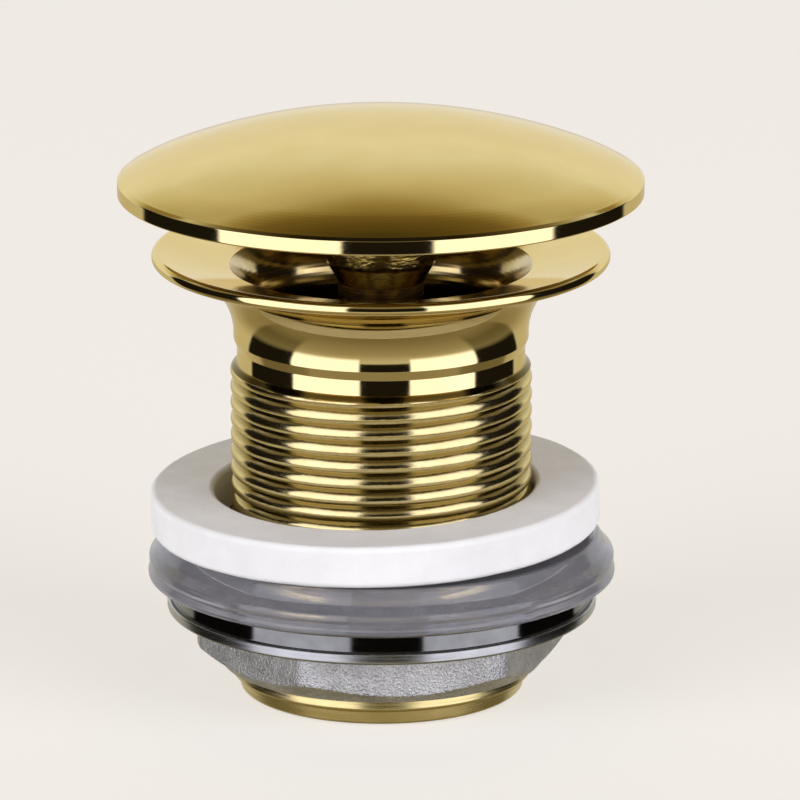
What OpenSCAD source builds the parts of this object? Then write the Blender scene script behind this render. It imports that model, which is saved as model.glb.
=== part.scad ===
// Pop up basin waste: a flanged, threaded drain body with a domed push plug,
// a click cartridge under the plug, and the foam washer, sealing washer and
// flanged back nut that clamp it to a basin.
// Millimetres, +Z up along the drain axis, Z = 0 at the end of the tail.

/* [Waste body] */
// Height of the middle of the flange rim above the tail end
rim_height = 62.3; // [59:0.05:72]
// Diameter of the flange
flange_d = 63.5; // [60:0.1:70]
// Thickness of the flange
flange_t = 1.8; // [1.4:0.1:2.4]
// Slope of the dished flange, down towards the throat
dish_slope = 12.5; // [10:0.1:15]
// Major diameter of the outside thread
thread_d = 41.91; // [41.2:0.01:42.5]
// Wall of the tube at the relief groove, where it is thinnest
tube_wall = 2.4; // [2.2:0.05:2.7]
// Wall of the tail at its plain lead
tail_wall = 2.15; // [1.8:0.05:2.3]
// Diameter of the plain lead where it meets the thread
lead_d = 40.2; // [39:0.1:40.5]
// Length of the plain lead at the tail end
lead_len = 1.9; // [1.5:0.1:3]
// Diameter of the neck between the relief groove and the flange
neck_d = 41.0; // [40.6:0.1:42]
// Diameter of the relief groove above the thread
relief_d = 40.04; // [39.6:0.02:40.4]
// Length of the straight neck below its cove
neck_len = 0.85; // [0.5:0.05:4]
// Height of the relief groove
relief_h = 1.35; // [0.8:0.05:1.6]
// Radius of the cove where the neck flares into the flange
cove_r = 9.5; // [6:0.5:10]
// Radius that leads the dish into the throat bore
throat_r = 5.0; // [3:0.5:6]

/* [Bridge] */
// Height of the underside of the bridge above the tail end
bridge_z = 12.0; // [10:0.5:14]
// Height of the hub in the middle of the bridge
hub_h = 6.0; // [5:0.5:7]
// Diameter of the hub
hub_d = 18.0; // [17:0.5:19]
// Width of each spoke
spoke_w = 3.2; // [2.6:0.1:4]
// Height of each spoke
spoke_h = 5.0; // [4:0.5:5]
// Number of spokes
spoke_count = 4; // [3:1:4]

/* [Plug] */
// How far the plug goes down to close
travel = 7.4; // [7:0.1:9]
// Diameter of the domed cap
cap_d = 72.8; // [70:0.1:78]
// Rise of the dome above its edge
crown_h = 8.1; // [6:0.1:10]
// Height of the band round the edge of the cap
edge_h = 2.5; // [1.9:0.1:3.4]
// Thickness of the dome
shell_t = 2.2; // [1.8:0.1:2.8]
// Diameter of the boss under the cap
boss_d = 15.3; // [14.5:0.1:16]
// Height of the taper at the foot of the boss
boss_taper = 3.0; // [2.5:0.1:4]
// Mean diameter of the ring seal under the cap
seal_d = 48.0; // [46:0.5:50]
// Section diameter of the ring seal
seal_section = 3.0; // [2.6:0.1:3.2]

/* [Click cartridge] */
// Bore of the cartridge barrel
barrel_bore = 12.0; // [11.8:0.1:12.4]
// Wall of the cartridge barrel
barrel_wall = 2.4; // [2:0.1:2.8]
// Diameter of the threaded stub under the barrel
stub_d = 12.0; // [10:0.5:12.5]
// Length of the barrel that guides the plunger above the rotor
guide_len = 8.6; // [5.5:0.1:10]
// Diameter of the tube at the foot of the plunger, which carries the rotor
stem_d = 7.8; // [7.6:0.1:8]
// Wall of the tube at the foot of the plunger
stem_wall = 0.8; // [0.7:0.05:0.9]
// Length of the solid head of the plunger, above its spring
head_len = 5.1; // [4:0.1:6]
// Diameter of the stud that screws into the boss
stud_d = 8.0; // [7:0.5:8]
// Length of the stud
stud_len = 11.0; // [8:0.5:12]
// Diameter of the cam pins
pin_d = 1.6; // [1.4:0.1:1.8]
// Depth of the cam track in the rotor
track_depth = 1.1; // [0.9:0.05:1.2]
// Turn of the rotor over one stroke of the plug
stroke_turn = 45; // [45, 90]
// Wire diameter of the return spring
spring_wire = 0.7; // [0.6:0.05:0.8]
// Turns of the return spring
spring_turns = 11; // [8:1:13]

/* [Washers and nut] */
// Height of the back nut above the tail end
nut_rest = 4.0; // [3:0.1:8]
// Width across the flats of the back nut
nut_af = 46.5; // [46:0.1:48]
// Diameter that the nut's corners are turned to
nut_corner_d = 51.8; // [50:0.1:53]
// Height of the nut's hexagon below its flange
nut_hex_h = 7.6; // [6.5:0.1:9]
// Turn of the hexagon about the axis
nut_phase = 8; // [0:1:59]
// Diameter of the nut's flange
nut_flange_d = 60.0; // [59.4:0.1:62]
// Height of the rim of the nut's flange
nut_rim_h = 1.6; // [1.2:0.1:2.4]
// Diameter of the turned collar above the rim
nut_collar_d = 58.6; // [55:0.1:59]
// Height of the turned collar
nut_collar_h = 2.8; // [2:0.1:4]
// Diameter of the sealing washer at its lower lip
washer_d = 65.2; // [62:0.1:68]
// Slack between the thread and the bore of the sealing washer
washer_slack = 0.545; // [0.35:0.005:1.1]
// Thickness of the sealing washer
washer_t = 6.5; // [5.8:0.1:9]
// Diameter of the foam washer
foam_d = 62.8; // [60:0.1:66]
// Slack between the thread and the bore of the foam washer
foam_slack = 1.345; // [1:0.005:2]
// Thickness of the foam washer
foam_t = 6.0; // [5:0.1:8]
// How far the loose foam washer leans
foam_lean = 1.7; // [0:0.1:1.8]
// Way that the foam washer leans, about the axis
foam_way = 220; // [0:5:355]
// How far the loose foam washer lies off the axis
foam_shift = 0.8; // [0:0.05:0.85]

/* [Hidden] */
$fn = 96;

// Clearances
thread_clear = 0.045;
fit_clear = 0.05;
loose_clear = 0.2;
pin_clear = 0.02;
track_clear = 0.15;
end_clear = 0.3;
axial_clear = 0.1;
seal_clear = 0.3;
lip_clear = 0.15;
groove_clear = 0.05;

// How far a cut runs past the face that it opens
past = 1;

// Edge breaks
chamfer = 0.5;
fine_chamfer = 0.3;
rim_round = 0.8;
cast_round = 0.8;
edge_round = 0.4;
arc_steps = 6;

// Waste body
neck_step_h = 1.3;
thread_runout = 2.0;
lead_taper = 0.35;
flange_r = flange_d / 2;
thread_r = thread_d / 2;
lead_r = lead_d / 2;
neck_r = neck_d / 2;
relief_r = relief_d / 2;
bore_r = relief_r - tube_wall;
tail_bore_r = lead_r - tail_wall;
rim_top = rim_height + flange_t / 2;
rim_low = rim_height - flange_t / 2;
function dish_z(r) = rim_top - (flange_r - r) * tan(dish_slope);
function under_z(r) = rim_low - (flange_r - r) * tan(dish_slope);
cove_low = under_z(neck_r) - cove_r / tan(45 + dish_slope / 2);
neck_low = cove_low - neck_len;
relief_top = neck_low - neck_step_h;
relief_low = relief_top - relief_h;

// Bridge
hub_top = bridge_z + hub_h;
spoke_z = bridge_z + (hub_h - spoke_h) / 2;
stub_r = stub_d / 2 - fit_clear;

// Cartridge, from the bridge upwards
barrel_washer_t = 0.8;
barrel_floor_t = 1.2;
guide_base_t = 1.4;
clip_t = 0.8;
clip_margin = 0.6;
track_margin = 2.0;
track_steps = 3;
slot_in = 0.03;
mouth_h = 1.6;
barrel_r = barrel_bore / 2 + barrel_wall;
barrel_seat = hub_top + barrel_washer_t;
barrel_floor = barrel_seat + barrel_floor_t;
guide_base_top = barrel_floor + guide_base_t;
plunger_low = guide_base_top + end_clear + travel;
clip_low = plunger_low + clip_margin;
rotor_low = clip_low + clip_t + axial_clear;
rotor_top = rotor_low + travel + 2 * track_margin;
plunger_shoulder = rotor_top + axial_clear;
mouth_z = plunger_shoulder + guide_len;
barrel_top = mouth_z + mouth_h;
boss_end = mouth_z + travel + loose_clear;
pin_z = rotor_low + track_margin;

plunger_r = barrel_bore / 2 - fit_clear;
stem_r = stem_d / 2;
stem_bore_r = stem_r - stem_wall;
clip_groove_r = stem_r - stem_wall / 2;
stud_r = stud_d / 2;
rotor_r = barrel_bore / 2 - loose_clear;
track_floor_r = rotor_r - track_depth;
track_r = (rotor_r + track_floor_r) / 2;
pin_r = pin_d / 2;

// Return spring and its guide
spring_top = boss_end - head_len;
spring_low = plunger_low + end_clear;
coil_r = stem_bore_r - end_clear - spring_wire / 2;
guide_nose_r = coil_r - spring_wire / 2 - loose_clear;
guide_nose_h = 6;
spring_sides = 8;
spring_steps = 16;

// Wiper ring in its groove on the plunger
wiper_section = 1.4;
wiper_z = plunger_shoulder + guide_len / 2;
wiper_r = plunger_r - wiper_section / 2;

// Plug: the seal and the edge are set by where they close on the flange
seal_r = seal_d / 2;
seal_radius = seal_section / 2;
seal_z = dish_z(seal_r) + (seal_radius + seal_clear) / cos(dish_slope) + travel;
seal_proud = seal_section / 3;
skirt_wall = 1.1;
lip_z = rim_top + travel + lip_clear;
cap_r = cap_d / 2;
edge_lean = 0.15;
edge_fall = 0.6;
lip_in = 0.4;
lip_wall = 1.5;
crease_r = cap_r - edge_lean;
crease_z = lip_z + edge_h;
dome_r = (crease_r * crease_r + crown_h * crown_h) / (2 * crown_h);
dome_z = crease_z + crown_h - dome_r;
hollow_r = dome_r - shell_t;
dome_steps = 24;
hollow_steps = 8;
boss_r = boss_d / 2;
stud_hole_r = stud_r + fit_clear;
stud_hole_top = boss_end + stud_len + past;
function hollow_z(r) = dome_z + sqrt(hollow_r * hollow_r - r * r);

// Washers and nut, stacked from the nut upwards
nut_bore_r = thread_r + thread_clear;
nut_rim_z = nut_rest + nut_hex_h;
nut_collar_z = nut_rim_z + nut_rim_h;
nut_foot_h = 1.0;
nut_corner_h = 2.6;
nut_foot_in = 0.8;
washer_z = nut_collar_z + nut_collar_h;
washer_r = washer_d / 2;
washer_bore = thread_d + 2 * washer_slack;
lip_h = 0.6;
lip_t = 0.5;
lip_foot = 1.2;
notch_h = 1.9;
notch_in = 0.45;
ridge_h = 2.5;
ridge_t = 0.8;
ridge_in = 0.15;
shoulder_h = 4.4;
shoulder_in = 1.2;
crown_in = 2.4;
foam_r = foam_d / 2;
foam_bore = thread_d + 2 * foam_slack;
foam_z = washer_z + washer_t + (washer_r - crown_in) * sin(foam_lean);
foam_round = 0.9;

// Finishes
gold = "#c9ac57";
raw_brass = "#b8964a";
nickel = "#8d8f8c";
steel = "#b5b8ba";
foam_white = "#f2f2f0";
clear_grey = "#9a99a2";
black_rubber = "#1d1d1e";
acetal = "#e6e1d3";
fibre_red = "#7d3b2c";

// Points of an arc about a centre, from one angle to another
function arc(centre, radius, from, to, steps) =
    [for (i = [0:steps]) let (a = from + (to - from) * i / steps) centre + radius * [cos(a), sin(a)]];

function unit(v) = v / norm(v);
function place(p) = [p[0], p[1]];

// One corner of an outline, rounded to its third value where it has one
function corner(before, p, after) =
    len(p) < 3
        ? [p]
        : let (
            u = unit(place(before) - place(p)),
            v = unit(place(after) - place(p)),
            half = acos(u * v) / 2,
            centre = place(p) + unit(u + v) * p[2] / sin(half),
            start = place(p) + u * p[2] / tan(half) - centre,
            way = u[0] * v[1] - u[1] * v[0] > 0 ? -1 : 1,
            from = atan2(start[1], start[0])
        )
        arc(centre, p[2], from, from + way * (180 - 2 * half), arc_steps);

// An outline of [x, y] and [x, y, radius] corners, with its arcs filled in
function rounded(points) =
    let (n = len(points))
    [for (i = [0:n - 1]) each corner(points[(i + n - 1) % n], points[i], points[(i + 1) % n])];

// Solid of revolution about Z from an outline of radius and height
module turned(points) {
    rotate_extrude() polygon(rounded(points));
}

// Ring of round section
module ring(mean_r, section_r, z) {
    translate([0, 0, z]) rotate_extrude() translate([mean_r, 0]) circle(r = section_r);
}

// Round hole or pin that points away from the axis
module radial(angle, z, from, to, radius) {
    rotate(angle) translate([from, 0, z]) rotate([0, 90, 0]) cylinder(r = radius, h = to - from, $fn = 32);
}

// Flange, throat and threaded tail, cast in one with the bridge that holds the cartridge
module waste_body() {
    color(gold) difference() {
        union() {
            turned([
                [tail_bore_r + chamfer, 0],
                [lead_r - lead_taper - fine_chamfer, 0],
                [lead_r - lead_taper, fine_chamfer],
                [lead_r, lead_len],
                [thread_r, lead_len + (thread_r - lead_r) / 2, edge_round],
                [thread_r, relief_low - thread_runout],
                [relief_r, relief_low],
                [relief_r, relief_top],
                [neck_r, neck_low],
                [neck_r, under_z(neck_r), cove_r],
                [flange_r, rim_low, rim_round],
                [flange_r, rim_top, rim_round],
                [bore_r, dish_z(bore_r), throat_r],
                [bore_r, bridge_z],
                [tail_bore_r, bridge_z],
                [tail_bore_r, chamfer]
            ]);
            for (i = [0:spoke_count - 1]) rotate((i + 0.5) * 360 / spoke_count) bridge_spoke();
            translate([0, 0, bridge_z]) cylinder(d = hub_d, h = hub_h);
        }
        translate([0, 0, bridge_z - past]) cylinder(r = stub_r + fit_clear, h = hub_h + 2 * past);
    }
}

// Spoke from the axis into the wall, with a rounded upper edge that parts the water
module bridge_spoke() {
    crest_r = spoke_w / 2 - fine_chamfer;
    rotate([90, 0, 90]) linear_extrude(bore_r + tube_wall / 3) polygon(rounded([
        [-spoke_w / 2, spoke_z],
        [spoke_w / 2, spoke_z],
        [spoke_w / 2, spoke_z + spoke_h, crest_r],
        [-spoke_w / 2, spoke_z + spoke_h, crest_r]
    ]));
}

// Polished dome with its seal skirt and the boss that takes the plunger's stud
module dome_cap() {
    edge_angle = acos(crease_r / dome_r);
    dome = arc([0, dome_z], dome_r, 90, edge_angle, dome_steps);
    groove_or = seal_r + seal_radius + groove_clear;
    groove_ir = seal_r - seal_radius - groove_clear;
    groove_top = seal_z + seal_radius + groove_clear;
    skirt_or = groove_or + skirt_wall;
    skirt_ir = groove_ir - skirt_wall;
    skirt_z = seal_z - seal_radius + seal_proud;
    lip_or = cap_r - lip_in;
    lip_ir = lip_or - lip_wall;
    color(gold) turned(concat(
        [for (i = [0:dome_steps - 1]) dome[i]],
        [
            [crease_r, crease_z, rim_round],
            [cap_r, crease_z - edge_fall, rim_round],
            [cap_r, lip_z + lip_in, rim_round],
            [lip_or, lip_z, edge_round],
            [lip_ir, lip_z, edge_round],
            [lip_ir, hollow_z(lip_ir), edge_round]
        ],
        hollow_arc(lip_ir - past, skirt_or + past),
        [
            [skirt_or, hollow_z(skirt_or), cast_round],
            [skirt_or, skirt_z, edge_round],
            [groove_or, skirt_z],
            [groove_or, groove_top],
            [groove_ir, groove_top],
            [groove_ir, skirt_z],
            [skirt_ir, skirt_z, edge_round],
            [skirt_ir, hollow_z(skirt_ir), cast_round]
        ],
        hollow_arc(skirt_ir - past, boss_r + 2 * past),
        [
            [boss_r, hollow_z(boss_r), cast_round],
            [boss_r, boss_end + boss_taper, boss_taper / 2],
            [plunger_r, boss_end],
            [stud_hole_r, boss_end],
            [stud_hole_r, stud_hole_top],
            [0, stud_hole_top + stud_hole_r / 2]
        ]
    ));
}

// Underside of the dome between two radii
function hollow_arc(outer, inner) =
    arc([0, dome_z], hollow_r, acos(outer / hollow_r), acos(inner / hollow_r), hollow_steps);

// Ring that closes on the dished flange
module plug_seal() {
    color(black_rubber) ring(seal_r, seal_radius, seal_z);
}

// Stud, guided piston and hollow stem that carries the rotor
module plunger() {
    wiper_half = wiper_section / 2 + groove_clear;
    wiper_floor_r = wiper_r - wiper_half;
    color(raw_brass) turned([
        [0, boss_end + stud_len],
        [stud_r - chamfer, boss_end + stud_len],
        [stud_r, boss_end + stud_len - chamfer],
        [stud_r, boss_end],
        [plunger_r, boss_end],
        [plunger_r, wiper_z + wiper_half],
        [wiper_floor_r, wiper_z + wiper_half],
        [wiper_floor_r, wiper_z - wiper_half],
        [plunger_r, wiper_z - wiper_half],
        [plunger_r, plunger_shoulder + fine_chamfer],
        [plunger_r - fine_chamfer, plunger_shoulder],
        [stem_r, plunger_shoulder],
        [stem_r, clip_low + clip_t + groove_clear],
        [clip_groove_r, clip_low + clip_t + groove_clear],
        [clip_groove_r, clip_low - groove_clear],
        [stem_r, clip_low - groove_clear],
        [stem_r, plunger_low + fine_chamfer],
        [stem_r - fine_chamfer, plunger_low],
        [stem_bore_r, plunger_low],
        [stem_bore_r, spring_top],
        [0, spring_top]
    ]);
}

// Ring that keeps grit out of the barrel
module wiper_ring() {
    color(black_rubber) ring(wiper_r, wiper_section / 2, wiper_z);
}

// Sleeve with the zigzag track that turns it a step at each stroke
module cam_rotor() {
    periods = 180 / stroke_turn;
    color(acetal) difference() {
        turned([
            [stem_r + fit_clear, rotor_low],
            [rotor_r - fine_chamfer, rotor_low],
            [rotor_r, rotor_low + fine_chamfer],
            [rotor_r, rotor_top - fine_chamfer],
            [rotor_r - fine_chamfer, rotor_top],
            [stem_r + fit_clear, rotor_top]
        ]);
        for (i = [0:periods - 1]) rotate(i * 360 / periods) {
            track_leg(stroke_turn);
            track_leg(-stroke_turn);
            track_turn(0, 0);
            track_turn(stroke_turn, travel);
        }
    }
}

// One leg of the track, in straight steps from the foot of the zigzag to its peak
module track_leg(turn) {
    step_turn = turn / track_steps;
    step_rise = travel / track_steps;
    step_run = 2 * track_r * sin(step_turn / 2);
    step_len = norm([step_run, step_rise]);
    half_w = pin_r + track_clear - slot_in;
    for (i = [0:track_steps - 1]) {
        rotate((i + 0.5) * step_turn) translate([track_floor_r, 0, pin_z + (i + 0.5) * step_rise])
            rotate([-atan2(step_run, step_rise), 0, 0]) translate([0, -half_w, -step_len / 2])
                cube([rotor_r + past - track_floor_r, 2 * half_w, step_len]);
        if (i > 0) track_turn(i * step_turn, i * step_rise);
    }
}

// Round turn where two straight steps of the track meet
module track_turn(angle, rise) {
    radial(angle, pin_z + rise, track_floor_r, rotor_r + past, pin_r + track_clear);
}

// Open clip under the rotor
module rotor_clip() {
    clip_ir = clip_groove_r + fit_clear;
    clip_or = rotor_r - end_clear;
    clip_gap = 1.5 * clip_ir;
    color(steel) translate([0, 0, clip_low]) difference() {
        cylinder(r = clip_or, h = clip_t);
        translate([0, 0, -past]) cylinder(r = clip_ir, h = clip_t + 2 * past);
        translate([0, -clip_gap / 2, -past]) cube([clip_or + past, clip_gap, clip_t + 2 * past]);
    }
}

// Barrel that screws into the bridge, with spanner flats and holes for the cam pins
module click_barrel() {
    flat_h = 5;
    flat_in = 1;
    color(raw_brass) difference() {
        turned([
            [0, bridge_z],
            [stub_r - chamfer, bridge_z],
            [stub_r, bridge_z + chamfer],
            [stub_r, barrel_seat],
            [barrel_r - fine_chamfer, barrel_seat],
            [barrel_r, barrel_seat + fine_chamfer],
            [barrel_r, barrel_top - chamfer],
            [barrel_r - chamfer, barrel_top],
            [boss_r - edge_round, barrel_top],
            [barrel_bore / 2, mouth_z],
            [barrel_bore / 2, barrel_floor],
            [0, barrel_floor]
        ]);
        for (i = [0, 1]) rotate(i * 180) {
            radial(0, pin_z, 0, barrel_r + past, pin_r + pin_clear);
            translate([-barrel_r, barrel_r - flat_in, barrel_seat - past])
                cube([2 * barrel_r, barrel_r, flat_h + past]);
        }
    }
}

// Fibre washer under the barrel's shoulder
module barrel_washer() {
    color(fibre_red) translate([0, 0, hub_top]) difference() {
        cylinder(r = barrel_r, h = barrel_washer_t);
        translate([0, 0, -past]) cylinder(r = stub_r + fit_clear, h = barrel_washer_t + 2 * past);
    }
}

// Two pins through the barrel, which ride in the rotor's track
module cam_pins() {
    color(steel) for (i = [0, 1])
        radial(i * 180, pin_z, track_floor_r + track_clear, barrel_r - fine_chamfer, pin_r);
}

// Foot and post that centre the spring inside the stem
module spring_guide() {
    post_r = stem_bore_r - loose_clear;
    color(acetal) turned([
        [0, barrel_floor],
        [rotor_r, barrel_floor],
        [rotor_r, guide_base_top],
        [post_r, guide_base_top],
        [post_r, spring_low],
        [guide_nose_r, spring_low],
        [guide_nose_r, spring_low + guide_nose_h - chamfer],
        [guide_nose_r - chamfer, spring_low + guide_nose_h],
        [0, spring_low + guide_nose_h]
    ]);
}

// Coil swept along its helix as one closed solid
module return_spring() {
    rings = spring_turns * spring_steps;
    wire_r = spring_wire / 2;
    first_z = spring_low + wire_r + groove_clear;
    rise = spring_top - groove_clear - wire_r - first_z;
    points = [
        for (i = [0:rings], j = [0:spring_sides - 1])
            let (
                a = i * 360 / spring_steps,
                b = j * 360 / spring_sides,
                r = coil_r + wire_r * cos(b)
            )
            [r * cos(a), r * sin(a), first_z + rise * i / rings + wire_r * sin(b)]
    ];
    sides = [
        for (i = [0:rings - 1], j = [0:spring_sides - 1])
            let (k = (j + 1) % spring_sides)
            [i * spring_sides + j, i * spring_sides + k, (i + 1) * spring_sides + k, (i + 1) * spring_sides + j]
    ];
    ends = [
        [for (j = [spring_sides - 1:-1:0]) j],
        [for (j = [0:spring_sides - 1]) rings * spring_sides + j]
    ];
    color(steel) polyhedron(points, concat(sides, ends), convexity = 10);
}

// Soft foam ring that goes under the basin, lying loose on the sealing washer
module foam_washer() {
    color(foam_white) translate([-foam_shift, 0, foam_z]) rotate([0, foam_lean, foam_way]) turned([
        [foam_bore / 2, 0],
        [foam_r, 0, foam_round],
        [foam_r, foam_t, foam_round],
        [foam_bore / 2, foam_t, foam_round]
    ]);
}

// Clear sealing ring that tapers up from a ridge and a thin lower lip
module seal_washer() {
    ridge_r = washer_r - ridge_in;
    top = washer_z + washer_t;
    color(clear_grey) turned([
        [washer_bore / 2, washer_z],
        [washer_r - lip_foot, washer_z],
        [washer_r, washer_z + lip_h, fine_chamfer],
        [washer_r, washer_z + lip_h + lip_t, fine_chamfer],
        [washer_r - notch_in, washer_z + notch_h, fine_chamfer],
        [ridge_r, washer_z + ridge_h, fine_chamfer],
        [ridge_r, washer_z + ridge_h + ridge_t, edge_round],
        [washer_r - shoulder_in, washer_z + shoulder_h, rim_round],
        [washer_r - crown_in, top, rim_round],
        [washer_bore / 2, top]
    ]);
}

// Flanged hexagon nut, with a collar turned bright above its cast rim
module back_nut() {
    hex_r = nut_af / 2 / cos(30);
    corner_r = nut_corner_d / 2;
    rim_r = nut_flange_d / 2;
    collar_r = nut_collar_d / 2;
    color(nickel) difference() {
        union() {
            intersection() {
                translate([0, 0, nut_rest]) rotate(nut_phase)
                    cylinder(r = hex_r, h = nut_hex_h + nut_rim_h / 2, $fn = 6);
                turned([
                    [0, nut_rest],
                    [nut_af / 2 - nut_foot_in, nut_rest],
                    [nut_af / 2, nut_rest + nut_foot_h],
                    [corner_r, nut_rest + nut_corner_h],
                    [corner_r, nut_rim_z + nut_rim_h],
                    [0, nut_rim_z + nut_rim_h]
                ]);
            }
            turned([
                [0, nut_rim_z],
                [rim_r, nut_rim_z, edge_round],
                [rim_r, nut_collar_z, edge_round],
                [collar_r, nut_collar_z],
                [collar_r, washer_z - fine_chamfer],
                [collar_r - fine_chamfer, washer_z],
                [0, washer_z]
            ]);
        }
        translate([0, 0, nut_rest - past]) cylinder(r = nut_bore_r, h = washer_z - nut_rest + 2 * past);
    }
}

waste_body();
dome_cap();
plug_seal();
plunger();
wiper_ring();
cam_rotor();
rotor_clip();
click_barrel();
barrel_washer();
cam_pins();
spring_guide();
return_spring();
foam_washer();
seal_washer();
back_nut();
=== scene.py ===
import math

import bmesh
import bpy
import numpy as np
from mathutils import Matrix, Quaternion, Vector, noise


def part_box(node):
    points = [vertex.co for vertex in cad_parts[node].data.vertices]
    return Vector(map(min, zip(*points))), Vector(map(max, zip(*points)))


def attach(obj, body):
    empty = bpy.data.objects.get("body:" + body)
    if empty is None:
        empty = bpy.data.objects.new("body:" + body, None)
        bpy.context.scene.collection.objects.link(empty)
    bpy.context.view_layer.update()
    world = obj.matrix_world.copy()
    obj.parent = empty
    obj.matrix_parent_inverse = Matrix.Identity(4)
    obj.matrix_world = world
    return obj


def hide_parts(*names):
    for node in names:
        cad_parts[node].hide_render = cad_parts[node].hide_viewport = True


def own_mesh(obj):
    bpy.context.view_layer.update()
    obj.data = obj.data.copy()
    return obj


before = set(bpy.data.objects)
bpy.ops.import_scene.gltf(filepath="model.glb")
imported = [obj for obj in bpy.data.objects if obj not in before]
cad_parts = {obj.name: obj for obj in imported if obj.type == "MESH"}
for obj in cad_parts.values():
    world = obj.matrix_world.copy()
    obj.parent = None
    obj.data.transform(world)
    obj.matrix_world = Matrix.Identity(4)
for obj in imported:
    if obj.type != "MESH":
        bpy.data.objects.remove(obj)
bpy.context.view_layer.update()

# Millimetres to the frame's metres
MM = 0.001

# Mesh density
COLUMNS = 288
ARC_STEPS = 8
ARC_STEP = 0.35
LONG_STEP = 2.0
SUPPORT = 0.12
SHARP_ANGLE = 32

# Camera, at the photograph's viewing angle
CAMERA_AIM = Vector((0.00261, 0.0, 0.04103))
CAMERA_DISTANCE = 1.050
CAMERA_ELEVATION = 15.15
CAMERA_ROLL = -0.08
FOCAL_PIXELS = 7549.5
FRAME_PIXELS = 800
SENSOR_MM = 36.0


def low(node, axis):
    """Lowest millimetre of a CAD node along an axis."""
    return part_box(node)[0][axis] / MM


def high(node, axis):
    """Highest millimetre of a CAD node along an axis."""
    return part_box(node)[1][axis] / MM


# Sizes taken from the frame
flange_r = high("waste_body", 0)
rim_top = high("waste_body", 2)
cap_r = high("dome_cap", 0)
dome_top = high("dome_cap", 2)
boss_end = low("dome_cap", 2)
washer_r = high("seal_washer", 0)
washer_low = low("seal_washer", 2)
washer_top = high("seal_washer", 2)
nut_low = low("back_nut", 2)
nut_top = high("back_nut", 2)
nut_rim_r = high("back_nut", 0)
spring_low = low("return_spring", 2)
spring_top = high("return_spring", 2)
spring_r = high("return_spring", 0)

# Waste body
FLANGE_T = 1.8
DISH_SLOPE = math.tan(math.radians(12.5))
RIM_ROUND = 0.8
NECK_R = 20.5
NECK_LOW = 50.43
RELIEF_R = 20.02
RELIEF_TOP = 49.13
RELIEF_LOW = 46.95
COVE_R = 9.5
MOUTH_R = 21.0
MOUTH_CURVE = 10.0
MOUTH_EDGE = 0.4
MOUTH_STEPS = 14
BORE_R = 17.62
TAIL_BORE_R = 17.95
LEAD_R = 20.1
LEAD_TOP = 1.9
LEAD_TAPER = 0.35
LEAD_CHAMFER = 0.3
LEAD_ROUND = 0.15
CUT_ROUND = 0.2
TAIL_CHAMFER = 0.5
BRIDGE_LOW = 12.0
WALL_SLACK = 0.05

# Outside thread
THREAD_R = 20.955
THREAD_PITCH = 2.309
THREAD_DEPTH = 0.64
THREAD_SHAPE = 2.1
THREAD_LOW = 4.2
THREAD_TOP = 46.1
THREAD_CREST_Z = 39.3
FRONT_TURN = 0.75
THREAD_ROWS = 16

# Bridge
HUB_R = 9.0
HUB_BORE = 6.0
HUB_H = 6.0
SPOKE_W = 3.2
SPOKE_H = 5.0
SPOKE_COUNT = 4
SPOKE_IN_WALL = 0.4

# Plug
EDGE_H = 2.5
CROWN_H = 8.1
EDGE_LEAN = 0.15
EDGE_ROLL = 0.35
ROLL_W = 5.0
CHAMFER_IN = 0.5
CHAMFER_H = 0.42
CREASE_ROUND = 0.4
LIP_IN = 0.15
LIP_ROUND = 0.2
LIP_WALL = 1.75
SHELL_T = 2.2
EDGE_ROUND = 0.4
DOME_STEPS = 56
HOLLOW_STEPS = 14
HOLLOW_GAP = 1.0
BOSS_GAP = 2.0
BOSS_R = 7.65
BOSS_TAPER = 3.0
PLUNGER_R = 5.95
STUD_HOLE_R = 4.05
STUD_HOLE_H = 12.0
SEAL_R = 24.0
SEAL_SECTION = 3.0
GROOVE_CLEAR = 0.05
SKIRT_WALL = 1.1
CAST_ROUND = 0.8

# Sealing washer, heights and steps from its lower lip
WASHER_BORE_R = 21.5
LIP_FOOT = 1.2
LIP_H = 0.6
LIP_T = 0.5
NOTCH_H = 1.9
NOTCH_IN = 0.45
RIDGE_H = 2.5
RIDGE_T = 0.8
RIDGE_IN = 0.15
SHOULDER_H = 4.4
SHOULDER_IN = 1.2
CROWN_IN = 2.4
SOFT_ROUND = 0.3

# Foam washer
FOAM_R = 31.4
FOAM_BORE_R = 22.3
FOAM_T = 6.0
FOAM_ROUND = 0.9
FOAM_LEAN = 1.7
FOAM_WAY = 220
FOAM_SHIFT = 0.8
FOAM_STEP = 0.5
FOAM_WAVE = 0.10
FOAM_WAVE_SCALE = 0.16
FOAM_PIT = 0.06
FOAM_PIT_SCALE = 0.9

# Back nut
NUT_BORE_R = 21.0
NUT_AF = 46.5
NUT_CORNER_R = 25.9
NUT_PHASE = 8
NUT_HEX_H = 7.6
NUT_RIM_H = 1.6
NUT_COLLAR_R = 29.3
NUT_FOOT_H = 1.0
NUT_FOOT_IN = 0.8
NUT_CORNER_H = 2.6
NUT_COLUMNS = 360
NUT_ROWS = 40
NUT_CHAMFER = 0.6
NUT_FILLET = 0.6
NUT_FLARE = 0.5
NUT_BLEND = 0.2
NUT_RIM_START = 1.2
NUT_CREASE = 0.15
nut_rim_z = nut_low + NUT_HEX_H

# Return spring
SPRING_WIRE = 0.7
SPRING_TURNS = 11
SPRING_SIDES = 12
SPRING_STEPS = 40

# Finishes: gold's tint at grazing angles, and how far a finish reaches past its edge
GOLD_EDGE = (0.93, 0.86, 0.66, 1.0)
ZONE_SLACK = 0.1


def arc(centre, radius, start, end, steps):
    """Points of an arc about a centre, between two angles in degrees."""
    angles = np.radians(np.linspace(start, end, steps + 1))
    return [(centre[0] + radius * math.cos(a), centre[1] + radius * math.sin(a)) for a in angles]


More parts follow.
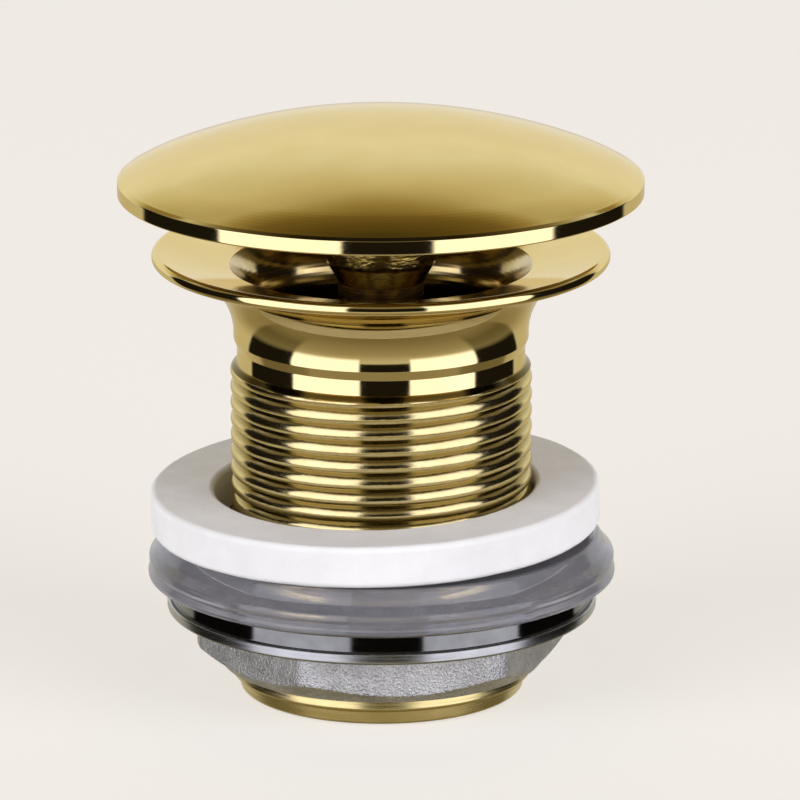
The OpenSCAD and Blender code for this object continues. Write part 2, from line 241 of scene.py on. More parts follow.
def corner(before, point, after):
    """One outline corner, turned into an arc where it has a third value, its radius."""
    here = Vector(point[:2])
    if len(point) < 3:
        return [tuple(here)]
    to_before = (Vector(before[:2]) - here).normalized()
    to_after = (Vector(after[:2]) - here).normalized()
    half = to_before.angle(to_after) / 2
    centre = here + (to_before + to_after).normalized() * point[2] / math.sin(half)
    start = here + to_before * point[2] / math.tan(half) - centre
    from_angle = math.degrees(math.atan2(start.y, start.x))
    turn = 180 - 2 * math.degrees(half)
    if to_before.x * to_after.y - to_before.y * to_after.x > 0:
        turn = -turn
    steps = max(ARC_STEPS, round(point[2] * math.radians(abs(turn)) / ARC_STEP))
    return arc(centre, point[2], from_angle, from_angle + turn, steps)


def rounded(corners, closed=True):
    """An outline with its corners rounded and its long edges split, closely beside their ends."""
    count = len(corners)
    points = []
    for i, point in enumerate(corners):
        inner = closed or 0 < i < count - 1
        before = corners[i - 1]
        after = corners[(i + 1) % count]
        points += corner(before, point, after) if inner else [tuple(point[:2])]
    result = []
    for i, point in enumerate(points):
        result.append(point)
        if i == len(points) - 1 and not closed:
            break
        a = Vector(point)
        b = Vector(points[(i + 1) % len(points)])
        length = (b - a).length
        if length > 4 * SUPPORT:
            shares = np.linspace(SUPPORT / length, 1 - SUPPORT / length, 2 + int(length / LONG_STEP))
            result += [tuple(a.lerp(b, share)) for share in shares]
    return result


def finish_mesh(name, vertices, faces):
    """A smooth shaded object from millimetre vertices, with its sharp edges marked."""
    mesh = bpy.data.meshes.new(name)
    mesh.from_pydata([tuple(v) for v in np.asarray(vertices) * MM], [], faces)
    work = bmesh.new()
    work.from_mesh(mesh)
    bmesh.ops.remove_doubles(work, verts=work.verts, dist=1e-7)
    bmesh.ops.recalc_face_normals(work, faces=work.faces)
    work.to_mesh(mesh)
    work.free()
    mesh.shade_smooth()
    mesh.set_sharp_from_angle(angle=math.radians(SHARP_ANGLE))
    piece = bpy.data.objects.new(name, mesh)
    bpy.context.scene.collection.objects.link(piece)
    return piece


def grid_faces(rows, columns, closed, first=0):
    """Quads of a grid that closes round its columns, and round its rows where closed is true."""
    faces = []
    for i in range(rows if closed else rows - 1):
        k = (i + 1) % rows
        for j in range(columns):
            n = (j + 1) % columns
            faces.append([first + i * columns + j, first + i * columns + n,
                          first + k * columns + n, first + k * columns + j])
    return faces


def lathe_points(outline, columns=COLUMNS):
    """Rows of points from turning an outline of radius and height about Z."""
    angles = np.linspace(0, 2 * math.pi, columns, endpoint=False)
    shape = np.asarray(outline, float)
    x = shape[:, :1] * np.cos(angles)
    y = shape[:, :1] * np.sin(angles)
    z = np.repeat(shape[:, 1:], columns, axis=1)
    return np.stack([x, y, z], axis=-1)


def lathe(name, outline, closed=True):
    """A turned piece. An open outline starts and ends on the axis."""
    points = lathe_points(outline)
    rows, columns = points.shape[:2]
    return finish_mesh(name, points.reshape(-1, 3), grid_faces(rows, columns, closed))


def thread_rows():
    """Helical rows of the outside thread, with a crest at a set height in front and a ring at each end."""
    crest_z = THREAD_CREST_Z - FRONT_TURN * THREAD_PITCH
    first_z = crest_z + THREAD_PITCH * (math.floor((THREAD_LOW - crest_z) / THREAD_PITCH) - 1)
    turns = math.ceil((RELIEF_LOW - first_z) / THREAD_PITCH) + 1
    row = np.arange(turns * THREAD_ROWS + 1)[:, None]
    column = np.arange(COLUMNS)[None, :]
    z = np.clip(first_z + THREAD_PITCH * (row / THREAD_ROWS + column / COLUMNS), THREAD_LOW, RELIEF_LOW)
    from_crest = np.abs((row / THREAD_ROWS + 0.5) % 1 - 0.5)
    fade = np.clip((z - THREAD_LOW) / THREAD_PITCH, 0, 1)
    groove = THREAD_DEPTH * (2 * from_crest) ** THREAD_SHAPE * fade
    run_out = np.interp(z, [THREAD_TOP, RELIEF_LOW], [THREAD_R, RELIEF_R])
    r = np.minimum(THREAD_R - groove, run_out)
    angle = 2 * math.pi * column / COLUMNS
    return np.stack([r * np.cos(angle), r * np.sin(angle), z], axis=-1)


def dish(r):
    """Height of the dished flange at a radius."""
    return rim_top - (flange_r - r) * DISH_SLOPE


# Curved wall of the throat's mouth, from the bore up to the dish
mouth_turn = math.degrees(math.acos(1 - (MOUTH_R - BORE_R) / MOUTH_CURVE))
mouth_z = dish(MOUTH_R) - MOUTH_CURVE * math.sin(math.radians(mouth_turn))


def in_throat(r, z):
    """True on the wall of the waterway, from the tail's end to the edge of the dish."""
    up = min(max(z - mouth_z, 0.0), MOUTH_CURVE)
    wall = TAIL_BORE_R + MOUTH_CURVE - math.sqrt(MOUTH_CURVE ** 2 - up ** 2)
    return r < wall + WALL_SLACK and z < dish(MOUTH_R)


def waste_body():
    """Flange, throat and tail, with the outside thread as a true helix."""
    rim_low = rim_top - FLANGE_T

    def under(r):
        return rim_low - (flange_r - r) * DISH_SLOPE

    mouth = arc((BORE_R + MOUTH_CURVE, mouth_z), MOUTH_CURVE, 180 - mouth_turn, 180, MOUTH_STEPS)
    outline = rounded([
        (RELIEF_R, RELIEF_LOW),
        (RELIEF_R, RELIEF_TOP, CUT_ROUND),
        (NECK_R, NECK_LOW, CUT_ROUND),
        (NECK_R, under(NECK_R), COVE_R),
        (flange_r, rim_low, RIM_ROUND),
        (flange_r, rim_top, RIM_ROUND),
        (MOUTH_R, dish(MOUTH_R), MOUTH_EDGE),
        *mouth[1:],
        (BORE_R, BRIDGE_LOW),
        (TAIL_BORE_R, BRIDGE_LOW),
        (TAIL_BORE_R, TAIL_CHAMFER),
        (TAIL_BORE_R + TAIL_CHAMFER, 0),
        (LEAD_R - LEAD_TAPER - LEAD_CHAMFER, 0),
        (LEAD_R - LEAD_TAPER, LEAD_CHAMFER, LEAD_ROUND),
        (LEAD_R, LEAD_TOP, LEAD_ROUND),
        (THREAD_R, LEAD_TOP + (THREAD_R - LEAD_R) / 2, EDGE_ROUND),
        (THREAD_R, THREAD_LOW),
    ], closed=False)
    turned = lathe_points(outline)
    thread = thread_rows()
    rows = len(thread)
    faces = grid_faces(len(outline), COLUMNS, False, first=rows * COLUMNS)
    last = COLUMNS - 1
    for k in range(rows - 1):
        for j in range(last):
            a = k * COLUMNS + j
            faces.append([a, a + 1, a + 1 + COLUMNS, a + COLUMNS])
    for k in range(rows - 1 - THREAD_ROWS):
        a = k * COLUMNS + last
        b = (k + THREAD_ROWS) * COLUMNS
        faces.append([a, b, b + COLUMNS, a + COLUMNS])
    vertices = np.concatenate([thread.reshape(-1, 3), turned.reshape(-1, 3)])
    return finish_mesh("drain_body", vertices, faces)


def bridge():
    """Hub and spokes that carry the cartridge, cast in one with the body."""
    hub = lathe_points(rounded([
        (HUB_BORE, BRIDGE_LOW),
        (HUB_R, BRIDGE_LOW, EDGE_ROUND),
        (HUB_R, BRIDGE_LOW + HUB_H, EDGE_ROUND),
        (HUB_BORE, BRIDGE_LOW + HUB_H),
    ]))
    vertices = hub.reshape(-1, 3).tolist()
    faces = grid_faces(len(hub), COLUMNS, True)
    spoke_z = BRIDGE_LOW + (HUB_H - SPOKE_H) / 2
    crest = SPOKE_W / 2 - SOFT_ROUND
    section = rounded([
        (-SPOKE_W / 2, spoke_z),
        (SPOKE_W / 2, spoke_z),
        (SPOKE_W / 2, spoke_z + SPOKE_H, crest),
        (-SPOKE_W / 2, spoke_z + SPOKE_H, crest),
    ])
    count = len(section)
    for i in range(SPOKE_COUNT):
        angle = math.radians((i + 0.5) * 360 / SPOKE_COUNT)
        first = len(vertices)
        for reach in (HUB_R - SPOKE_IN_WALL, BORE_R + SPOKE_IN_WALL):
            for across, z in section:
                vertices.append([
                    reach * math.cos(angle) - across * math.sin(angle),
                    reach * math.sin(angle) + across * math.cos(angle),
                    z,
                ])
        faces += grid_faces(2, count, False, first=first)
        faces.append([first + j for j in range(count)])
        faces.append([first + count + j for j in range(count)])
    return finish_mesh("drain_bridge", vertices, faces)


def dome_cap():
    """Polished dome with its rim, seal skirt and boss."""
    crease_r = cap_r - EDGE_LEAN
    crease_z = dome_top - CROWN_H
    lip_z = crease_z - EDGE_H
    dome_r = (crease_r ** 2 + CROWN_H ** 2) / (2 * CROWN_H)
    centre = (0, dome_top - dome_r)
    hollow_r = dome_r - SHELL_T

    def roll(r):
        return EDGE_ROLL * max(0.0, 1 - (cap_r - r) / ROLL_W) ** 2

    edge_r = cap_r - CHAMFER_IN
    edge_z = centre[1] + math.sqrt(dome_r ** 2 - edge_r ** 2) - roll(edge_r)

    def hollow_z(r):
        return centre[1] + math.sqrt(hollow_r ** 2 - r ** 2)

    def hollow(outer, inner):
        start = math.degrees(math.acos(outer / hollow_r))
        end = math.degrees(math.acos(inner / hollow_r))
        return arc(centre, hollow_r, start, end, HOLLOW_STEPS)

    seal_z = (low("plug_seal", 2) + high("plug_seal", 2)) / 2
    groove = SEAL_SECTION / 2 + GROOVE_CLEAR
    skirt_z = seal_z - SEAL_SECTION / 6
    skirt_or = SEAL_R + groove + SKIRT_WALL
    skirt_ir = SEAL_R - groove - SKIRT_WALL
    lip_or = cap_r - LIP_IN
    lip_ir = lip_or - LIP_WALL
    edge = math.degrees(math.acos(crease_r / dome_r))
    hole_top = boss_end + STUD_HOLE_H
    dome = arc(centre, dome_r, 90, edge, DOME_STEPS)
    outline = rounded(
        [(r, z - roll(r)) for r, z in dome if r < edge_r - CREASE_ROUND]
        + [
            (edge_r, edge_z, CREASE_ROUND),
            (cap_r, edge_z - CHAMFER_H, LIP_ROUND),
            (cap_r, lip_z + LIP_IN, LIP_ROUND),
            (lip_or, lip_z, LIP_ROUND),
            (lip_ir, lip_z, EDGE_ROUND),
            (lip_ir, hollow_z(lip_ir), EDGE_ROUND),
        ]
        + hollow(lip_ir - HOLLOW_GAP, skirt_or + HOLLOW_GAP)
        + [
            (skirt_or, hollow_z(skirt_or), CAST_ROUND),
            (skirt_or, skirt_z, EDGE_ROUND),
            (SEAL_R + groove, skirt_z),
            (SEAL_R + groove, seal_z + groove),
            (SEAL_R - groove, seal_z + groove),
            (SEAL_R - groove, skirt_z),
            (skirt_ir, skirt_z, EDGE_ROUND),
            (skirt_ir, hollow_z(skirt_ir), CAST_ROUND),
        ]
        + hollow(skirt_ir - HOLLOW_GAP, BOSS_R + BOSS_GAP)
        + [
            (BOSS_R, hollow_z(BOSS_R), CAST_ROUND),
            (BOSS_R, boss_end + BOSS_TAPER, BOSS_TAPER / 2),
            (PLUNGER_R, boss_end),
            (STUD_HOLE_R, boss_end),
            (STUD_HOLE_R, hole_top),
            (0, hole_top + STUD_HOLE_R / 2),
        ],
        closed=False,
    )
    return lathe("plug_dome", outline, closed=False)


def seal_washer():
    """Clear ring that tapers up from a ridge and a thin lower lip."""
    ridge_r = washer_r - RIDGE_IN
    return lathe("clear_washer", rounded([
        (WASHER_BORE_R, washer_low),
        (washer_r - LIP_FOOT, washer_low),
        (washer_r, washer_low + LIP_H, SOFT_ROUND),
        (washer_r, washer_low + LIP_H + LIP_T, SOFT_ROUND),
        (washer_r - NOTCH_IN, washer_low + NOTCH_H, SOFT_ROUND),
        (ridge_r, washer_low + RIDGE_H, SOFT_ROUND),
        (ridge_r, washer_low + RIDGE_H + RIDGE_T, EDGE_ROUND),
        (washer_r - SHOULDER_IN, washer_low + SHOULDER_H, RIM_ROUND),
        (washer_r - CROWN_IN, washer_top, RIM_ROUND),
        (WASHER_BORE_R, washer_top, SOFT_ROUND),
    ]))


def foam_washer():
    """Cut foam ring with a slightly uneven surface, lying askew on the sealing washer."""
    outline = rounded([
        (FOAM_BORE_R, 0),
        (FOAM_R, 0, FOAM_ROUND),
        (FOAM_R, FOAM_T, FOAM_ROUND),
        (FOAM_BORE_R, FOAM_T, FOAM_ROUND),
    ])
    fine = []
    for a, b in zip(outline, outline[1:] + outline[:1]):
        steps = max(1, round((Vector(b) - Vector(a)).length / FOAM_STEP))
        fine += [tuple(Vector(a).lerp(Vector(b), i / steps)) for i in range(steps)]
    points = lathe_points(fine)
    rows = len(points)
    for i in range(rows):
        along = Vector(fine[(i + 1) % rows]) - Vector(fine[i - 1])
        inward = Vector((-along.y, along.x)).normalized()
        for j in range(COLUMNS):
            place = Vector(points[i, j])
            wave = 0.5 + 0.5 * noise.noise(place * FOAM_WAVE_SCALE)
            pits = 0.5 + 0.5 * noise.noise(place * FOAM_PIT_SCALE)
            dent = FOAM_WAVE * wave + FOAM_PIT * pits
            angle = 2 * math.pi * j / COLUMNS
            across = inward.x * dent
            points[i, j] += (across * math.cos(angle), across * math.sin(angle), inward.y * dent)
    lean = Matrix.Rotation(math.radians(FOAM_WAY), 3, "Z") @ Matrix.Rotation(math.radians(FOAM_LEAN), 3, "Y")
    rest = washer_top + (washer_r - CROWN_IN) * math.sin(math.radians(FOAM_LEAN))
    placed = points.reshape(-1, 3) @ np.array(lean).T + (-FOAM_SHIFT, 0, rest)
    return finish_mesh("foam_ring", placed, grid_faces(rows, COLUMNS, True))


def smooth_min(a, b, blend):
    """The lower of two sizes, rounded where they meet."""
    h = np.clip(0.5 + 0.5 * (b - a) / blend, 0, 1)
    return b + (a - b) * h - blend * h * (1 - h)


def back_nut():
    """Flanged hexagon nut with rounded corners, a cast rim and a turned collar."""
    angles = np.linspace(0, 2 * math.pi, NUT_COLUMNS, endpoint=False)
    from_flat = np.mod(angles - math.radians(NUT_PHASE + 30) + math.pi / 6, math.pi / 3) - math.pi / 6
    hexagon = NUT_AF / 2 / np.cos(from_flat)
    collar_z = nut_rim_z + NUT_RIM_H
    limits = [
        (NUT_AF / 2 - NUT_FOOT_IN, nut_low),
        (NUT_AF / 2, nut_low + NUT_FOOT_H),
        (NUT_CORNER_R, nut_low + NUT_CORNER_H),
        (NUT_CORNER_R, nut_rim_z - NUT_FLARE),
        (NUT_CORNER_R + NUT_FLARE, nut_rim_z),
    ]
    heights = np.linspace(nut_low, nut_rim_z, NUT_ROWS)
    limit = np.interp(heights, [z for _, z in limits], [r for r, _ in limits])
    rows = []
    for r, z in [(NUT_BORE_R, nut_low + NUT_CHAMFER), (NUT_BORE_R + NUT_CHAMFER, nut_low)]:
        rows.append((np.full(NUT_COLUMNS, r), z))
    for r, z in zip(limit, heights):
        near_rim = max(0.0, 1 - (nut_rim_z - z) / NUT_FILLET)
        flare = NUT_FILLET * (1 - math.sqrt(max(0.0, 1 - near_rim ** 2)))
        rows.append((smooth_min(hexagon, np.full(NUT_COLUMNS, r), NUT_BLEND) + flare, z))
    turned = rounded([
        (NUT_CORNER_R + NUT_RIM_START, nut_rim_z),
        (nut_rim_r, nut_rim_z, EDGE_ROUND),
        (nut_rim_r, collar_z, EDGE_ROUND),
        (NUT_COLLAR_R, collar_z, NUT_CREASE),
        (NUT_COLLAR_R, nut_top, SOFT_ROUND),
        (NUT_BORE_R + NUT_CHAMFER, nut_top),
        (NUT_BORE_R, nut_top - NUT_CHAMFER),
    ], closed=False)
    rows += [(np.full(NUT_COLUMNS, r), z) for r, z in turned]
    points = np.stack([
        np.stack([r * np.cos(angles), r * np.sin(angles), np.full(NUT_COLUMNS, z)], axis=-1) for r, z in rows
    ])
    return finish_mesh("clamp_nut", points.reshape(-1, 3), grid_faces(len(rows), NUT_COLUMNS, True))


def return_spring():
    """Coil of round wire."""
    wire_r = SPRING_WIRE / 2
    coil_r = spring_r - wire_r
    rings = SPRING_TURNS * SPRING_STEPS
    rise = spring_top - spring_low - SPRING_WIRE
    vertices = []
    for i in range(rings + 1):
        angle = 2 * math.pi * i / SPRING_STEPS
        z = spring_low + wire_r + rise * i / rings
        for j in range(SPRING_SIDES):
            round_wire = 2 * math.pi * j / SPRING_SIDES
            r = coil_r + wire_r * math.cos(round_wire)
            vertices.append((r * math.cos(angle), r * math.sin(angle), z + wire_r * math.sin(round_wire)))
    faces = grid_faces(rings + 1, SPRING_SIDES, False)
    faces.append(list(range(SPRING_SIDES)))
    faces.append([rings * SPRING_SIDES + j for j in range(SPRING_SIDES)])
    return finish_mesh("coil_spring", vertices, faces)


def shader_node(tree, kind, inputs=None, **settings):
    """A node with its settings made, and its inputs set or linked."""
    made = tree.nodes.new(kind)
    for key, value in settings.items():
        setattr(made, key, value)
    for key, value in (inputs or {}).items():
        if isinstance(value, bpy.types.NodeSocket):
            tree.links.new(value, made.inputs[key])
        else:
            made.inputs[key].default_value = value
    return made


def math_node(tree, operation, *values):
    """The result of a math node."""
    return shader_node(tree, "ShaderNodeMath", dict(enumerate(values)), operation=operation).outputs[0]


def ramp(tree, share, stops):
    """Colour of a ramp at a share, from stops of place and colour."""
    made = shader_node(tree, "ShaderNodeValToRGB", {"Fac": share})
    elements = made.color_ramp.elements
    while len(elements) < len(stops):
        elements.new(1.0)
    for element, (place, colour) in zip(elements, stops):
        element.position = place
        element.color = (*colour, 1.0)
    return made.outputs["Color"]


def span(tree, value, start, end, low_value, high_value):
    """A value mapped from one range to another, and held at its ends."""
    made = shader_node(tree, "ShaderNodeMapRange", {
        "Value": value,
        "From Min": start,
        "From Max": end,
        "To Min": low_value,
        "To Max": high_value,
    })
    return made.outputs["Result"]


def mix_colour(tree, share, first, second):
    """Two colours mixed."""
    made = shader_node(tree, "ShaderNodeMix", {0: share, 6: first, 7: second}, data_type="RGBA")
    return made.outputs[2]


def grain(tree, place, scale, detail=3.0, stretch=(1, 1, 1)):
    """Noise in millimetres, as a share."""
    stretched = shader_node(tree, "ShaderNodeMapping", {"Vector": place, "Scale": stretch})
    made = shader_node(tree, "ShaderNodeTexNoise", {
        "Vector": stretched.outputs[0],
        "Scale": scale,
        "Detail": detail,
    })
    return made.outputs["Fac"]


def surface(name, **sockets):
    """A material with its shader, its node tree and object coordinates in millimetres."""
    made = bpy.data.materials.new(name)
    made.use_nodes = True
    tree = made.node_tree
    shader = next(n for n in tree.nodes if n.type == "BSDF_PRINCIPLED")
    for key, value in sockets.items():
        shader.inputs[key.replace("_", " ")].default_value = value
    place = shader_node(tree, "ShaderNodeTexCoord").outputs["Object"]
    scaled = shader_node(tree, "ShaderNodeVectorMath", {0: place, "Scale": 1 / MM}, operation="SCALE")
    return made, tree, shader, scaled.outputs[0]


def bump(tree, shader, height, strength, depth):
    """A height in shares of a depth in millimetres, as the shader's bump."""
    made = shader_node(tree, "ShaderNodeBump", {
        "Height": height,
        "Strength": strength,
        "Distance": depth * MM,
    })
    tree.links.new(made.outputs[0], shader.inputs["Normal"])


def height_of(tree, place):
    """Height of a place in millimetres."""
    return shader_node(tree, "ShaderNodeSeparateXYZ", {0: place}).outputs["Z"]


def band(tree, value, start, full, fade, end):
    """1 on a stretch of a value and 0 beside it, with both edges blended."""
    begun = span(tree, value, start, full, 0, 1)
    return math_node(tree, "MULTIPLY", begun, span(tree, value, fade, end, 1, 0))


def gold_plate():
    """Polished gold coating with faint marks and cloudiness, and painted shade that darkens it in the cove
    under the flange.
    """
    made, tree, shader, place = surface("gold_plate_look", Metallic=1.0, Specular_Tint=GOLD_EDGE)
    cloud = grain(tree, place, 0.10)
    marks = grain(tree, place, 1.6, detail=6.0, stretch=(1, 1, 6))
    bright = ramp(tree, cloud, [(0.3, (0.75, 0.60, 0.27)), (0.7, (0.79, 0.65, 0.31))])
    # Painted shade: a darker gold in the cove under the flange, set by height.
    cove_shade = band(tree, height_of(tree, place), NECK_LOW + 2, NECK_LOW + 4.5, rim_top - 4.2, rim_top - 3.4)
    tree.links.new(mix_colour(tree, cove_shade, bright, (0.62, 0.49, 0.21, 1.0)), shader.inputs["Base Color"])
    tree.links.new(span(tree, marks, 0.35, 0.75, 0.045, 0.10), shader.inputs["Roughness"])
    bump(tree, shader, marks, 0.10, 0.010)
    return made


def cut_gold():
    """Gold coating over a cut thread, torn along the cut, with painted shade darker in the grooves and a
    painted shadow line at the run-out.
    """
    made, tree, shader, place = surface("cut_gold_look", Metallic=1.0, Specular_Tint=GOLD_EDGE)
    torn = grain(tree, place, 1.3, detail=6.0, stretch=(1, 1, 5))
    cloud = grain(tree, place, 0.3)
    flat = shader_node(tree, "ShaderNodeVectorMath", {0: place, 1: (1, 1, 0)}, operation="MULTIPLY")
    radius = shader_node(tree, "ShaderNodeVectorMath", {0: flat.outputs[0]}, operation="LENGTH")
    crest = ramp(tree, cloud, [(0.3, (0.66, 0.54, 0.24)), (0.7, (0.74, 0.615, 0.30))])
    # Painted shade: the base colour darkens from the crests towards the thread's roots.
    depth = span(tree, radius.outputs["Value"], THREAD_R - 0.45, THREAD_R - 0.05, 1, 0)
    # Painted shadow: a near black line along the thread's run-out.
    run_out = band(tree, height_of(tree, place), THREAD_TOP, THREAD_TOP + 0.2, RELIEF_LOW - 0.2, RELIEF_LOW)
    groove_shade = mix_colour(tree, depth, crest, (0.40, 0.325, 0.15, 1.0))
    tree.links.new(mix_colour(tree, run_out, groove_shade, (0.09, 0.07, 0.03, 1.0)), shader.inputs["Base Color"])
    tree.links.new(span(tree, torn, 0.35, 0.75, 0.11, 0.21), shader.inputs["Roughness"])
    bump(tree, shader, torn, 0.35, 0.03)
    return made


def rough_gold():
    """Gold coating over a coarse casting, as on the boss under the cap."""
    made, tree, shader, place = surface("rough_gold_look", Metallic=1.0)
    lumps = grain(tree, place, 1.1, detail=6.0, stretch=(1, 1, 2.2))
    tree.links.new(ramp(tree, lumps, [(0.3, (0.40, 0.32, 0.12)), (0.7, (0.66, 0.56, 0.26))]),
                   shader.inputs["Base Color"])
    tree.links.new(span(tree, lumps, 0.3, 0.7, 0.12, 0.24), shader.inputs["Roughness"])
    bump(tree, shader, lumps, 0.7, 0.10)
    return made


def turned_metal(name, dark, pale, roughness, rings):
    """Machined metal: fine tool rings round the axis."""
    made, tree, shader, place = surface(name, Metallic=1.0)
    fine = grain(tree, place, rings, detail=4.0, stretch=(0.02, 0.02, 1.0))
    cloud = grain(tree, place, 0.3)
    tree.links.new(ramp(tree, cloud, [(0.3, dark), (0.7, pale)]), shader.inputs["Base Color"])
    tree.links.new(span(tree, fine, 0.3, 0.7, roughness * 0.7, roughness * 1.3), shader.inputs["Roughness"])
    bump(tree, shader, fine, 0.25, 0.02)
    return made


def cast_nickel():
    """Nickel plate over a shot blasted casting."""
    made, tree, shader, place = surface("cast_nickel_look", Metallic=1.0)
    pits = grain(tree, place, 3.2, detail=3.0)
    cloud = grain(tree, place, 0.25)
    shade = math_node(tree, "ADD", math_node(tree, "MULTIPLY", cloud, 0.4),
                      math_node(tree, "MULTIPLY", pits, 0.6))
    tree.links.new(ramp(tree, shade, [(0.35, (0.40, 0.40, 0.38)), (0.65, (0.78, 0.78, 0.745))]),
                   shader.inputs["Base Color"])
    tree.links.new(span(tree, pits, 0.3, 0.7, 0.34, 0.48), shader.inputs["Roughness"])
    bump(tree, shader, pits, 1.0, 0.24)
    return made


def white_foam():
    """Closed cell foam, with fine specks."""
    made, tree, shader, place = surface("white_foam_look", Roughness=0.9, Specular_IOR_Level=0.2)
    cells = grain(tree, place, 4.5, detail=5.0)
    cloud = grain(tree, place, 0.2)
    tree.links.new(ramp(tree, cloud, [(0.25, (0.80, 0.80, 0.81)), (0.75, (0.87, 0.87, 0.875))]),
                   shader.inputs["Base Color"])
    bump(tree, shader, cells, 0.5, 0.10)
    return made


def clear_soft():
    """Translucent soft plastic, with faint moulding streaks."""
    made, tree, shader, place = surface("clear_soft_look", IOR=1.46, Transmission_Weight=0.75)
    streak = grain(tree, place, 0.25, detail=3.0, stretch=(1, 1, 4))
    tree.links.new(ramp(tree, streak, [(0.3, (0.50, 0.495, 0.545)), (0.7, (0.64, 0.635, 0.69))]),
                   shader.inputs["Base Color"])
    tree.links.new(span(tree, streak, 0.3, 0.7, 0.06, 0.12), shader.inputs["Roughness"])
    bump(tree, shader, streak, 0.12, 0.08)
    return made


def moulded(name, dark, pale, roughness):
    """Moulded rubber, plastic or fibre, with a fine matt grain."""
    made, tree, shader, place = surface(name)
    fine = grain(tree, place, 4.0, detail=4.0)
    cloud = grain(tree, place, 0.6)
    tree.links.new(ramp(tree, cloud, [(0.3, dark), (0.7, pale)]), shader.inputs["Base Color"])
    tree.links.new(span(tree, fine, 0.3, 0.7, roughness - 0.08, roughness + 0.08), shader.inputs["Roughness"])
    bump(tree, shader, fine, 0.3, 0.04)
    return made


def dress(piece, body, material, slot, *nodes):
    """A new piece takes its material, rides on its body and stands for its CAD nodes. Its slot argument is
    not used.
    """
    piece.data.materials.append(material)
    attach(piece, body)
    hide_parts(*nodes)
    return piece


def zone(piece, material, inside):
    """The faces of a piece whose middle passes a test of radius and height take one more material."""
    piece.data.materials.append(material)
    index = len(piece.data.materials) - 1
    for face in piece.data.polygons:
        middle = face.center / MM
        if inside(math.hypot(middle.x, middle.y), middle.z):
            face.material_index = index


def under_plug(r, z):
    """True below the dome's shell and inside its lip."""
    return r < cap_r - LIP_IN - LIP_WALL and z < dome_top - CROWN_H * (r / cap_r) ** 2 - SHELL_T / 2


def paint(node, material):
    """A carried over CAD node takes a material."""
    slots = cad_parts[node].data.materials
    slots.clear()
    slots.append(material)


# Pieces and their finishes
gold = gold_plate()
brass = turned_metal("turned_brass_look", (0.62, 0.45, 0.17), (0.72, 0.55, 0.25), 0.22, 6.0)
steel = turned_metal("bright_steel_look", (0.55, 0.56, 0.57), (0.68, 0.69, 0.70), 0.25, 5.0)
nickel = cast_nickel()
thread_gold = cut_gold()
brushed_gold = turned_metal("brushed_gold_look", (0.48, 0.37, 0.15), (0.64, 0.51, 0.23), 0.28, 3.0)
bore_gold = turned_metal("bore_gold_look", (0.46, 0.36, 0.15), (0.64, 0.51, 0.23), 0.14, 1.2)
satin_gold = turned_metal("satin_gold_look", (0.64, 0.52, 0.21), (0.73, 0.605, 0.27), 0.28, 4.0)
bright_nickel = turned_metal("turned_nickel_look", (0.15, 0.15, 0.138), (0.20, 0.20, 0.185), 0.07, 4.0)
satin_nickel = turned_metal("satin_nickel_look", (0.33, 0.33, 0.31), (0.41, 0.41, 0.385), 0.24, 4.0)
foam = white_foam()
clear = clear_soft()
rubber = moulded("black_rubber_look", (0.018, 0.018, 0.019), (0.035, 0.035, 0.036), 0.55)
acetal = moulded("acetal_look", (0.74, 0.70, 0.61), (0.82, 0.79, 0.71), 0.40)
fibre = moulded("red_fibre_look", (0.22, 0.06, 0.04), (0.33, 0.10, 0.06), 0.75)

drain = dress(waste_body(), "drain", gold, "gold_plate", "waste_body")
zone(drain, thread_gold, lambda r, z: z < RELIEF_LOW and r > TAIL_BORE_R + 2 * TAIL_CHAMFER)
zone(drain, satin_gold, lambda r, z: z < THREAD_LOW and r > TAIL_BORE_R + TAIL_CHAMFER)
zone(drain, bore_gold, in_throat)
dress(bridge(), "drain", bore_gold, "gold_plate", "waste_body")
plug = dress(dome_cap(), "plug", gold, "gold_plate", "dome_cap")
zone(plug, brushed_gold, under_plug)
zone(plug, rough_gold(), lambda r, z: r < BOSS_R + ZONE_SLACK and under_plug(r, z))
dress(seal_washer(), "washer", clear, "clear_rubber", "seal_washer")
nut = dress(back_nut(), "nut", nickel, "nickel_cast", "back_nut")
zone(nut, satin_nickel, lambda r, z: nut_rim_z - EDGE_ROUND < z < nut_rim_z + NUT_RIM_H and r > NUT_COLLAR_R)
zone(nut, bright_nickel, lambda r, z: z >= nut_rim_z + NUT_RIM_H or r < NUT_BORE_R + ZONE_SLACK)
foam_ring = dress(foam_washer(), "foam", foam, "foam", "foam_washer")
spring = dress(return_spring(), "drain", steel, "steel", "return_spring")
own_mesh(spring)

for name in ("plunger", "click_barrel"):
    paint(name, brass)
for name in ("rotor_clip", "cam_pins"):
    paint(name, steel)
for name in ("plug_seal", "wiper_ring"):
    paint(name, rubber)
for name in ("cam_rotor", "spring_guide"):
    paint(name, acetal)
paint("barrel_washer", fibre)

# Studio, with bearings in degrees from the camera's side and rises in degrees from the horizon
BACKDROP = (0.865, 0.836, 0.788)
BLACK = (0.012, 0.010, 0.008)
SOFT_BOX = (1.75, 1.75, 2.08)
PALE = (0.94, 0.95, 0.99)
UNDER_FLAG = (0.10, 0.075, 0.03)
STUDIO_TURN = 3
BOX_START = 20
BOX_END = 77.5
BOX_RISE = 20
BACK_START = 130.5
BACK_LIFT = 35
WALL_FADE = 20
WALL_TOP = 31
FILL_POWER = 32.0
FILL_SIZE = 1.2
FILL_COLOUR = (1.0, 0.985, 0.91)
FILL_DISTANCE = 2.0
FILL_TURN = 58
FILL_RISE = 5
FLOOR_R = 4.0
FLOOR_SIDES = 64
FLOOR_DROP = 0.0003
FLOOR_GLOW = 0.702
FLOOR_COLOUR = (0.40, 0.387, 0.365)


def by_angle(tree, angle, limit, stops):
    """Colour at an angle, from stops in degrees up to a limit."""
    share = math_node(tree, "DIVIDE", angle, limit)
    return ramp(tree, share, [(stop / limit, colour) for stop, colour in stops])


